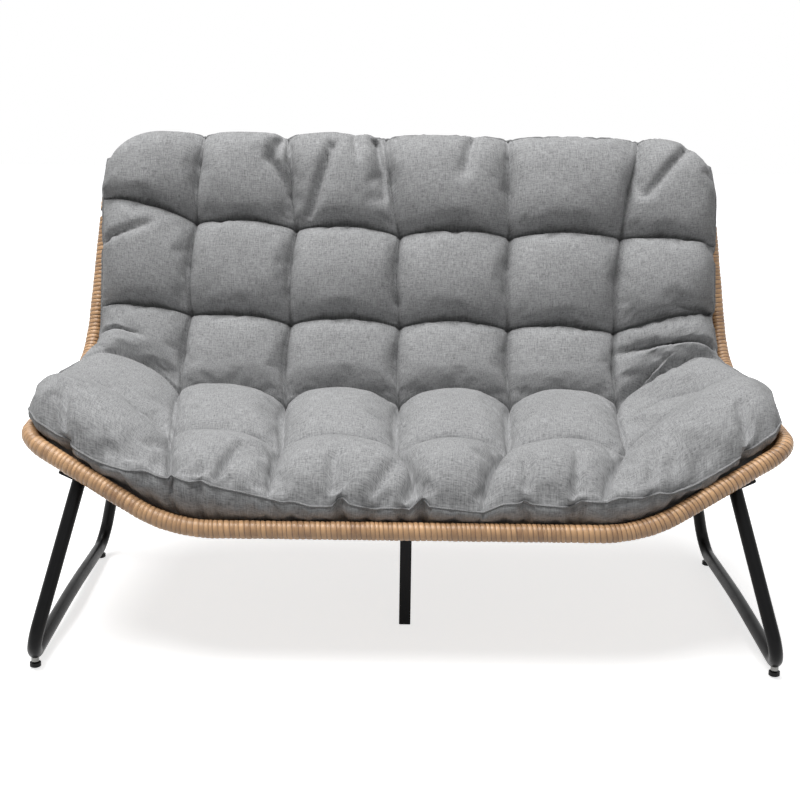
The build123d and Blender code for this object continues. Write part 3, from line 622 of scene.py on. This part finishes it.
# Filling: slack cloth that a pressure blows up, held on its creases, for a few frames of simulation
SPARE = 0.20  # the most slack that the cloth can have
EDGE_SLACK, POCKET_SLACK, FRONT_SLACK, ARM_SLACK = 0.04, 0.045, 0.030, 0.015
SLACK_RUN, CREASE_SLACK = 0.16, 0.4  # pockets from a crease to full slack, and its share on cross creases
PRESSURE = 20.0
MOST_MOVE = 0.033
LAST_FRAME = 14
QUALITY, MASS = 4, 0.001
STIFFNESS, SHEAR, BENDING, DAMPING = 80, 20, 8.0, 1
GROUP_STEPS = 20  # weights of the vertex groups go in this many steps

# Seam, skirt, sunk stitching and underside
SEAM_HOLD, SEAM_RUN = 0.7, 0.08  # how firmly the seam is held, and pockets over which folds fade at it
SKIRT_BULGE, SKIRT_TUCK = 0.008, 0.030
GROOVE, CROSS_GROOVE, GROOVE_WIDTH = 0.014, 0.006, 0.020
LEAST_HEIGHT = 0.016
UNDER_HEIGHT, UNDER_SHARE = 0.004, 0.955  # the underside's height over the skin, and its share of the width

# Loose folds outside the sewn grid: a line of (x, s) places from its deep end, its depth, its half width
FOLD_FADE = 0.65  # share of its depth that a fold loses towards its shallow end
FOLD_HELD, LINE_WIDTH, LINE_DEPTH = 0.0050, 0.0060, 0.65
FOLDS = [
    ([(-0.413, 0.000), (-0.412, 0.030), (-0.425, 0.060)], 0.018, 0.009),
    ([(-0.362, 0.000), (-0.357, 0.025)], 0.013, 0.009),
    ([(-0.332, 0.008), (-0.313, 0.055), (-0.300, 0.085)], 0.016, 0.010),
    ([(-0.118, 0.000), (-0.130, 0.015), (-0.129, 0.055)], 0.020, 0.010),
    ([(-0.116, 0.000), (-0.104, 0.030)], 0.012, 0.009),
    ([(-0.069, 0.000), (-0.040, 0.030), (-0.030, 0.050)], 0.012, 0.010),
    ([(-0.008, 0.000), (0.007, 0.030), (0.010, 0.060)], 0.014, 0.010),
    ([(0.024, 0.000), (0.020, 0.030)], 0.020, 0.010),
    ([(0.203, 0.000), (0.209, 0.030), (0.211, 0.060)], 0.012, 0.010),
    ([(0.286, 0.000), (0.296, 0.030), (0.306, 0.085)], 0.017, 0.010),
    ([(0.301, 0.000), (0.305, 0.015)], 0.015, 0.009),
    ([(0.469, 0.005), (0.473, 0.030), (0.470, 0.060)], 0.011, 0.010),
    ([(0.426, 0.005), (0.432, 0.055)], 0.010, 0.010),
    ([(0.602, 0.000), (0.600, 0.030), (0.598, 0.070)], 0.026, 0.010),
    ([(-0.606, 0.000), (-0.612, 0.030), (-0.618, 0.080)], 0.022, 0.010),
    ([(-0.292, 0.956), (-0.272, 0.930), (-0.246, 0.892)], 0.028, 0.012),
    ([(-0.292, 0.956), (-0.284, 0.980), (-0.270, 1.000)], 0.028, 0.012),
    ([(-0.164, 0.974), (-0.192, 0.910), (-0.208, 0.872)], 0.024, 0.013),
    ([(-0.118, 1.000), (-0.110, 0.956)], 0.020, 0.011),
    ([(-0.074, 0.990), (-0.058, 0.940), (-0.052, 0.900)], 0.024, 0.011),
    ([(0.140, 1.000), (0.130, 0.980), (0.116, 0.936)], 0.028, 0.011),
    ([(0.592, 0.978), (0.542, 0.938), (0.498, 0.900)], 0.018, 0.012),
    ([(0.646, 0.962), (0.616, 0.984)], 0.022, 0.010),
    ([(0.656, 0.774), (0.634, 0.794)], 0.018, 0.010),
    ([(0.614, 0.668), (0.564, 0.682)], 0.022, 0.011),
    ([(0.614, 0.668), (0.642, 0.650), (0.656, 0.616)], 0.022, 0.011),
    ([(0.552, 0.600), (0.512, 0.614), (0.468, 0.618), (0.438, 0.618)], 0.024, 0.012),
    ([(0.552, 0.600), (0.614, 0.554), (0.644, 0.530), (0.666, 0.512)], 0.024, 0.012),
    ([(0.560, 0.374), (0.602, 0.352), (0.634, 0.340), (0.656, 0.298)], 0.020, 0.011),
    ([(0.560, 0.374), (0.508, 0.384), (0.454, 0.352)], 0.020, 0.011),
    ([(0.480, 0.500), (0.536, 0.538)], 0.020, 0.011),
    ([(0.480, 0.500), (0.426, 0.476)], 0.020, 0.011),
    ([(0.530, 0.292), (0.492, 0.294), (0.428, 0.234)], 0.034, 0.017),
    ([(0.530, 0.292), (0.590, 0.292), (0.626, 0.270)], 0.034, 0.017),
    ([(-0.530, 0.230), (-0.492, 0.236), (-0.448, 0.225)], 0.036, 0.018),
    ([(-0.530, 0.230), (-0.594, 0.230), (-0.632, 0.190)], 0.036, 0.018),
    ([(0.406, 0.186), (0.462, 0.236), (0.538, 0.232)], 0.014, 0.010),
    ([(-0.436, 0.168), (-0.464, 0.176), (-0.498, 0.178)], 0.016, 0.010),
    ([(-0.474, 0.150), (-0.506, 0.176), (-0.536, 0.210)], 0.014, 0.010),
    ([(-0.640, 0.790), (-0.590, 0.812), (-0.544, 0.832)], 0.014, 0.011),
    ([(-0.632, 0.560), (-0.600, 0.590), (-0.560, 0.596)], 0.013, 0.011),
]


def edge_half(s, side):
    """Half width of the cushion at share s, on the side named by its sign."""
    return np.interp(s, EDGE_SHARES, LEFT_HALVES if side < 0 else RIGHT_HALVES)


# The front seam as the photo shows it: x of its peaks and dips, and its heights over the skin there
SEAM_X = [-0.675, -0.610, -0.588, -0.540, -0.493, -0.456, -0.417, -0.408, -0.379, -0.353, -0.341,
          -0.290, -0.244, -0.216, -0.198, -0.169, -0.131, -0.116, -0.100, -0.062, -0.034, 0.004,
          0.024, 0.037, 0.073, 0.130, 0.165, 0.195, 0.203, 0.211, 0.284, 0.300, 0.341, 0.366,
          0.420, 0.434, 0.456, 0.512, 0.568, 0.605, 0.660]
SEAM_HEIGHTS = [0.042, 0.040, 0.038, 0.043, 0.057, 0.076, 0.077, 0.086, 0.082, 0.086, 0.080,
                0.069, 0.058, 0.051, 0.053, 0.044, 0.045, 0.062, 0.048, 0.040, 0.043, 0.040,
                0.062, 0.047, 0.043, 0.037, 0.053, 0.054, 0.060, 0.054, 0.048, 0.059, 0.058, 0.065,
                0.055, 0.057, 0.046, 0.038, 0.036, 0.038, 0.042]
SIDE_SHARES = [0.0, 0.06, 0.16, 0.42, 0.60, 1.0]
SIDE_HEIGHTS = [0.040, 0.045, 0.045, 0.038, 0.048, 0.050]
FRONT_SHARE = 0.10


def seam_height(x, s):
    """Height of the seam over the scoop, which wanders along the front."""
    share = np.clip(s / FRONT_SHARE, 0, 1)
    sides = np.interp(s, SIDE_SHARES, SIDE_HEIGHTS)
    return np.interp(x, SEAM_X, SEAM_HEIGHTS) * (1 - share) + sides * share


def grid_lines(counts):
    """Grid lines in pocket numbers, drawn closer together next to the creases."""
    values = []
    for pocket, count in enumerate(counts):
        t = np.arange(count) / count
        values += list(pocket + t - 0.05 * np.sin(2 * np.pi * t))
    return np.array(values + [len(counts)])


def blended(table, i, j, a, b):
    """Values of a table between its four entries round each place."""
    lower = table[j, i] * (1 - a) + table[j, i + 1] * a
    upper = table[j + 1, i] * (1 - a) + table[j + 1, i + 1] * a
    return lower * (1 - b) + upper * b


def by_line(q, values):
    """Values told at the six lines up the cushion, at any place between them."""
    return np.interp(q, range(ROWS + 1), values)


def cushion_places(p, q):
    """Where a place in pocket numbers lies on the scoop, as x and share s."""
    tuft_x = np.vstack([FRONT_X, TUFT_X, TOP_X])
    tuft_s = np.vstack([np.zeros(5), TUFT_S, np.ones(5)])
    left_s, right_s = (np.concatenate([[0], ends, [1]]) for ends in (LEFT_S, RIGHT_S))
    table_s = np.hstack([left_s[:, None], tuft_s, right_s[:, None]])
    table_x = np.hstack([tuft_x[:, :1], tuft_x, tuft_x[:, -1:]])
    i, j = np.minimum(p.astype(int), COLUMNS - 1), np.minimum(q.astype(int), ROWS - 1)
    a, b = p - i, q - j
    s = blended(table_s, i, j, a, b)
    inner = blended(table_x, i, j, a, b) - by_line(q, SIDE_BOW) * np.sin(math.pi * b)
    left, right = p < 1, p > COLUMNS - 1
    arch = np.where(left, by_line(q, LEFT_ARCH), by_line(q, ARCH))
    arch = np.where(right, by_line(q, RIGHT_ARCH), arch)
    s = s + arch * np.sin(math.pi * a)
    x = np.where(left, inner * a - edge_half(s, -1) * (1 - a), inner)
    x = np.where(right, inner * (1 - a) + edge_half(s, 1) * a, x)

    # The corners are rounded off: the top ones more, the front ones a little
    corner = np.clip((np.abs(x) - CORNER_FROM) / CORNER_RUN, 0, 1) ** 2.5
    s = s - corner * (TOP_ROUNDING * np.clip(q - 4, 0, 1) - FRONT_ROUNDING * np.clip(1 - q, 0, 1))
    return x, s


def line_gap(places):
    """Distance of each place from its nearest grid line, in pockets."""
    return np.abs(places - np.round(places))


def crease_gap(places, count):
    """The same from its nearest sewn crease, and 1 next to the outer edges, which aren't creases."""
    nearest = np.round(places)
    return np.where((nearest > 0) & (nearest < count), np.abs(places - nearest), 1)


def edge_gap(p, q):
    """Distance of each place from the nearest outer edge, in pockets."""
    return np.minimum(np.minimum(p, COLUMNS - p), np.minimum(q, ROWS - q))


def ramp_up(values, run):
    """0 at 0 and below, 1 at the run's end and above."""
    return np.clip(values / run, 0, 1)


def held_points(p, q):
    """How firmly each point of the cover is held: 1 on the sewn creases, else 0."""
    on_crease = (crease_gap(p, COLUMNS) < ON_LINE) | (crease_gap(q, ROWS) < ON_LINE)
    return on_crease.astype(float)


def slack_heights(p, q, x, s):
    """Height of the slack cover over the scoop, with a low crown in every pocket.

    Each pocket is a dome, flat on top and falling to its creases; the outer ones fall more steeply to the
    seam, and those at the arms, in the second row, have a slower rise from it.
    """
    a, b = p % 1, q % 1
    row = np.minimum(q.astype(int), ROWS - 1)
    dome_a, dome_b = 1 - np.abs(2 * a - 1) ** 2.2, 1 - np.abs(2 * b - 1) ** 2.2
    side, end = np.minimum(p, COLUMNS - p), np.minimum(q, ROWS - q)
    arm = np.clip(1.9 - q, 0, 1) * np.clip((q - 0.7) / 0.5, 0, 1)
    dome_a = np.where(side < 0.5, 1 - np.clip(1 - 2 * side, 0, 1) ** (4 - 1.6 * arm), dome_a)
    dome_b = np.where(end < 0.5, 1 - np.clip(1 - 2 * end, 0, 1) ** 3, dome_b)
    bulge = np.sqrt(np.clip(dome_a * dome_b, 0, 1))
    valley = np.maximum(dome_a, dome_b) ** 0.6
    side_rise = 1 - np.clip(1 - (2.8 - 1.0 * arm) * side, 0, 1) ** (2.5 - 0.5 * arm)
    edge = np.minimum(side_rise, 1 - np.clip(1 - 2.6 * end, 0, 1) ** 2.5)
    seam = seam_height(x, s)
    first_crease = np.clip(1.2 - side, 0, 1) * np.exp(-((q - 1.30) / 0.48) ** 2)
    crease = CREASE - FIRST_CREASE_DROP * first_crease
    base = seam + (TUFT + (crease - TUFT) * valley - seam) * edge
    crown = np.where(side < 1, ARM_CROWNS[row], CROWNS[row])
    across = (line_gap(q) < ON_LINE) * 0.7 + 0.3
    return base + crown * bulge - NOTCH * held_points(p, q) * edge * across


def fold_depths(x, s):
    """How far the loose folds draw the cover in, how firmly they hold it, and how deep their lines are."""
    depth, hold, sharp = np.zeros(x.shape), np.zeros(x.shape), np.zeros(x.shape)
    y = s * LENGTH
    for line, deep, wide in FOLDS:
        line = np.array(line) * (1, LENGTH)
        nearest = np.full(x.shape, np.inf)
        fade = np.zeros(x.shape)
        for k, (start, stop) in enumerate(zip(line, line[1:])):
            run = stop - start
            t = np.clip(((x - start[0]) * run[0] + (y - start[1]) * run[1]) / (run @ run), 0, 1)
            gap = np.hypot(x - start[0] - t * run[0], y - start[1] - t * run[1])
            closer = gap < nearest
            nearest = np.where(closer, gap, nearest)
            fade = np.where(closer, (k + t) / (len(line) - 1), fade)
        ends = 1 - FOLD_FADE * fade
        depth = np.maximum(depth, deep * ends * np.exp(-(nearest / wide) ** 2))
        hold = np.maximum(hold, np.where(nearest < FOLD_HELD, ends, 0))
        sharp = np.maximum(sharp, LINE_DEPTH * deep * ends * np.exp(-(nearest / LINE_WIDTH) ** 2))
    return depth, hold, sharp


def groove_depths(p, q):
    """How far the stitching of the up-and-down and cross creases is sunk after the filling."""
    fade = 0.3 + 0.7 * ramp_up(np.minimum(q, ROWS - q), 0.35)
    side_fade = ramp_up(np.minimum(p, COLUMNS - p), 0.5)
    up_and_down = GROOVE * np.exp(-(crease_gap(p, COLUMNS) / GROOVE_WIDTH) ** 2) * fade
    across = CROSS_GROOVE * np.exp(-(crease_gap(q, ROWS) / GROOVE_WIDTH) ** 2) * side_fade
    return np.maximum(up_and_down, across)


def point_places(mesh):
    """The places of a mesh's points."""
    places = np.empty(len(mesh.vertices) * 3, np.float32)
    mesh.vertices.foreach_get("co", places)
    return places.reshape(-1, 3)


def fill_cover(obj, held, slack):
    """Fill the slack cover by cloth simulation, and return its points."""
    start = point_places(obj.data)
    for name, values in (("held", held), ("taut", 1 - slack / SPARE)):
        group = obj.vertex_groups.new(name=name)
        steps = np.round(values * GROUP_STEPS).astype(int)
        for step in np.unique(steps):
            group.add(np.nonzero(steps == step)[0].tolist(), step / GROUP_STEPS, "REPLACE")
    modifier = obj.modifiers.new("filling", "CLOTH")
    settings = modifier.settings
    settings.quality = QUALITY
    settings.mass = MASS
    settings.tension_stiffness = settings.compression_stiffness = STIFFNESS
    settings.shear_stiffness = SHEAR
    settings.bending_stiffness = BENDING
    settings.tension_damping = settings.compression_damping = settings.shear_damping = DAMPING
    settings.use_pressure = True
    settings.uniform_pressure_force = PRESSURE
    settings.vertex_group_mass = "held"
    settings.pin_stiffness = 1
    settings.vertex_group_shrink = "taut"
    settings.shrink_min = -SPARE
    settings.shrink_max = 0.0
    settings.effector_weights.gravity = 0
    modifier.collision_settings.use_collision = False
    modifier.collision_settings.use_self_collision = False
    scene = bpy.context.scene
    for number in range(1, LAST_FRAME + 1):
        scene.frame_set(number)
    moved = point_places(obj.evaluated_get(bpy.context.evaluated_depsgraph_get()).to_mesh())
    obj.modifiers.remove(modifier)
    scene.frame_set(1)

    # No point moves further than MOST_MOVE, and the limit comes on gently
    way = moved - start
    far = np.linalg.norm(way, axis=1)
    return start + way * (MOST_MOVE * np.tanh(far / MOST_MOVE) / np.maximum(far, 1e-9))[:, None]


def cushion_piece():
    """The cushion: a slack cover over the scoop, filled, with its stitching sunk and its underside closed."""
    p, q = np.meshgrid(grid_lines([PER_COLUMN] * COLUMNS), grid_lines(PER_ROW), indexing="ij")
    x, s = cushion_places(p, q)
    height = slack_heights(p, q, x, s)
    fold, hold, sharp = fold_depths(x, s)
    nu, nv = x.shape
    count = nu * nv
    gap = edge_gap(p, q)
    off_seam = ramp_up(gap, SEAM_RUN)

    # Upper side: slightly uneven, and reaching past the scoop's top edge in scallops
    rough = sum(smooth_noise(x.shape, cells, seed) * lump for cells, seed, lump in LUMPS)
    scallop = SCALLOP_OUT - SCALLOP_IN * np.abs(2 * (p % 1) - 1) ** 4
    reach = (TOP_REACH + scallop) * ramp_up(q - TOP_FROM, TOP_RUN) ** 1.3
    points = off_skin(x, s, height - fold * off_seam + rough * ramp_up(gap, 0.2), reach).reshape(-1, 3)

    # Seam: the ring of outer points, pinched in where a fold meets it
    index = np.arange(count).reshape(nu, nv)
    ring = np.concatenate([index[:, 0], index[-1, 1:], index[-2::-1, -1], index[0, -2:0:-1]])
    ring_x, ring_s, ring_reach, ring_fold = (values.ravel()[ring] for values in (x, s, reach, fold))
    tangent = unit(np.roll(points[ring], -2, 0) - np.roll(points[ring], 2, 0))
    out = unit(np.cross(tangent, skin_normal(ring_x, ring_s)))
    points[ring] -= out * (0.5 * ring_fold)[:, None]

    # Skirt: from the seam down to the skin, tucked in at the bottom and gathered at the folds
    skirt = []
    for k in range(1, SKIRT + 1):
        t = k / SKIRT
        ring_height = seam_height(ring_x, ring_s) * (1 - t) + REST * t
        low = off_skin(ring_x, ring_s, ring_height, ring_reach * (1 - 0.5 * t))
        bulge = SKIRT_BULGE * math.sin(math.pi * t) - SKIRT_TUCK * t ** 1.4
        skirt.append(low + out * (bulge - ring_fold * (1.1 - 0.7 * t))[:, None])
    verts = np.concatenate([points] + skirt)
    rings = np.vstack([ring] + [count + k * len(ring) + np.arange(len(ring)) for k in range(SKIRT)])
    after = np.roll(rings, -1, 1)
    side = np.stack([rings[:-1], rings[1:], after[1:], after[:-1]], -1).reshape(-1, 4)
    faces = np.concatenate([grid_faces(nu, nv), side])

    # Filling: held on creases, folds, seam and bottom ring; slacker in the pockets, most in the front row
    held = np.zeros(len(verts))
    held[:count] = np.maximum(held_points(p, q), hold).ravel()
    held[ring] = SEAM_HOLD
    held[rings[-1]] = 1
    arms = np.clip(np.abs(p - 3) - 2, 0, 1) * np.clip(2 - q, 0, 1)
    loose = ramp_up(line_gap(p), SLACK_RUN) * np.clip(CREASE_SLACK + line_gap(q) / SLACK_RUN, 0, 1)
    slack = np.full(len(verts), EDGE_SLACK)
    slack[:count] = ((POCKET_SLACK + FRONT_SLACK * np.clip(1 - q, 0, 1) - ARM_SLACK * arms) * loose).ravel()
    slack[held == 1] = 0
    body = new_mesh("cover_start", verts, faces)
    verts = fill_cover(body, held, slack)
    bpy.data.objects.remove(body)

    # Stitching and fold lines are sunk last, but never closer to the skin than LEAST_HEIGHT
    sunk = np.maximum(groove_depths(p, q), sharp) * off_seam
    sunk = np.minimum(sunk, np.maximum(height - fold - LEAST_HEIGHT, 0)).ravel()
    verts[:count] -= skin_normal(x, s).reshape(-1, 3) * sunk[:, None]

    # Underside: a plain sheet that lies on the skin
    rim_near = np.clip(1 - gap / 0.3, 0, 1)
    under_height = UNDER_HEIGHT + (REST - UNDER_HEIGHT) * rim_near ** 0.5
    under = off_skin(x * UNDER_SHARE, np.clip(s, 0.03, 0.97), under_height)
    base = len(verts)
    last = rings[-1]
    join = np.stack([last, ring + base, np.roll(ring + base, -1), np.roll(last, -1)], -1)
    verts = np.concatenate([verts, under.reshape(-1, 3)])
    faces = np.concatenate([faces, join, grid_faces(nu, nv, base)[:, ::-1]])
    obj = new_mesh("cushion_cover", verts, faces)
    flat = np.stack([x, s * LENGTH, 0 * x], -1).reshape(-1, 3)
    drop = np.arange(1, SKIRT + 1)[:, None, None] * np.array([0, 0.005, 0])
    attribute(obj, "cloth", np.concatenate([flat, (flat[ring] + drop).reshape(-1, 3), flat]))
    give(obj, cloth)
    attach(obj, "seat_cushion")
    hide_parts("cushion")
    return verts[ring]


# Section of the welt in metres, as (outwards, upwards) from the seam
WELT_SECTION = np.array([(-2, 1.0), (0.4, 1.2), (1.6, 1.9), (2.6, 1.6), (3.0, 0.4), (2.8, -0.9),
                         (1.8, -1.6), (0.4, -1.2), (-2, -1.0)]) * 0.001
SECTION_STEP = 0.0016


def welt_piece(seam):
    """A flat welt sewn round the seam, with a raised edge on both sides."""
    tangents = unit(np.roll(seam, -1, 0) - np.roll(seam, 1, 0))
    out = seam - seam.mean(0)
    out = unit(out - tangents * (out * tangents).sum(1)[:, None])
    up = np.cross(out, tangents)
    points = seam[:, None] + out[:, None] * WELT_SECTION[:, :1] + up[:, None] * WELT_SECTION[:, 1:]
    around = len(WELT_SECTION)
    obj = new_mesh("cushion_welt_cord", points.reshape(-1, 3),
                   grid_faces(len(seam), around, close_u=True, close_v=True))
    flat = np.stack([np.repeat(lengths_along(seam), around),
                     np.tile(np.arange(around) * SECTION_STEP, len(seam)),
                     np.zeros(len(seam) * around)], -1)
    attribute(obj, "cloth", flat)
    give(obj, welt_cloth)
    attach(obj, "seat_cushion")
    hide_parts("cushion_welt")


welt_piece(cushion_piece())


# Floor, backdrop and light
FLOOR_HALF = 12
FLOOR_GLOW = 0.9, 2.6, 0.72, 1.0  # its own light rises between two distances from the middle, in metres


def floor_material():
    """White floor for the camera, and a calmer grey one for the light that it throws back."""
    m = Shader("floor_paint")
    grain = m.noise(m.place(), 3.0, 2.0, 0.5)
    m.set(Base_Color=m.ramp(grain, [(0.3, (0.80, 0.80, 0.80)), (0.7, (0.84, 0.84, 0.84))]),
          Roughness=0.9, Specular_IOR_Level=0.2)
    low = m.node("BsdfDiffuse", {"Color": (0.36, 0.36, 0.36, 1)})
    glow = m.node("Emission", {"Color": (1, 1, 1, 1)})
    reach = m.node("VectorMath", {0: m.place()}, operation="LENGTH").outputs["Value"]
    m.tree.links.new(m.span(reach, *FLOOR_GLOW), glow.inputs["Strength"])
    white = m.node("AddShader")
    m.tree.links.new(m.bsdf.outputs[0], white.inputs[0])
    m.tree.links.new(glow.outputs[0], white.inputs[1])
    path = m.node("LightPath")
    seen = m.maths("MAXIMUM", path.outputs["Is Camera Ray"], path.outputs["Is Glossy Ray"])
    pick = m.node("MixShader", {"Fac": seen})
    m.tree.links.new(low.outputs[0], pick.inputs[1])
    m.tree.links.new(white.outputs[0], pick.inputs[2])
    m.tree.links.new(pick.outputs[0], m.tree.nodes["Material Output"].inputs["Surface"])
    return m.material


floor = new_mesh("floor", np.array([(-1, -1, 0), (1, -1, 0), (1, 1, 0), (-1, 1, 0)]) * FLOOR_HALF,
                 [(0, 1, 2, 3)])
give(floor, floor_material())


# Strength of the world as a light, and as the camera and gloss see it
WORLD_LIGHT, WORLD_SIGHT = 0.12, 1.0


def studio_world():
    """White to the camera and to gloss, and a soft grey light on the object."""
    world = bpy.data.worlds.new("studio")
    bpy.context.scene.world = world
    world.use_nodes = True
    tree = world.node_tree
    background = tree.nodes["Background"]
    background.inputs["Color"].default_value = (1, 1, 1, 1)
    path = tree.nodes.new("ShaderNodeLightPath")
    seen = tree.nodes.new("ShaderNodeMath")
    seen.operation = "MAXIMUM"
    tree.links.new(path.outputs["Is Camera Ray"], seen.inputs[0])
    tree.links.new(path.outputs["Is Glossy Ray"], seen.inputs[1])
    strength = tree.nodes.new("ShaderNodeMapRange")
    strength.inputs["To Min"].default_value = WORLD_LIGHT
    strength.inputs["To Max"].default_value = WORLD_SIGHT
    tree.links.new(seen.outputs[0], strength.inputs["Value"])
    tree.links.new(strength.outputs[0], background.inputs["Strength"])


studio_world()


def lamp(name, place, target, size, power):
    """A round soft lamp that looks at a target."""
    light = bpy.data.lights.new(name, "AREA")
    light.shape = "DISK"
    light.size = size
    light.energy = power
    obj = bpy.data.objects.new(name, light)
    bpy.context.scene.collection.objects.link(obj)
    obj.location = place
    obj.rotation_euler = (Vector(target) - Vector(place)).to_track_quat("-Z", "Y").to_euler()


lamp("key", (-1.1, -0.9, 6.8), (0, 0, 0.3), 5.6, 545)
lamp("fill", (1.2, -3.6, 1.2), (0, 0, 0.4), 2.5, 6)
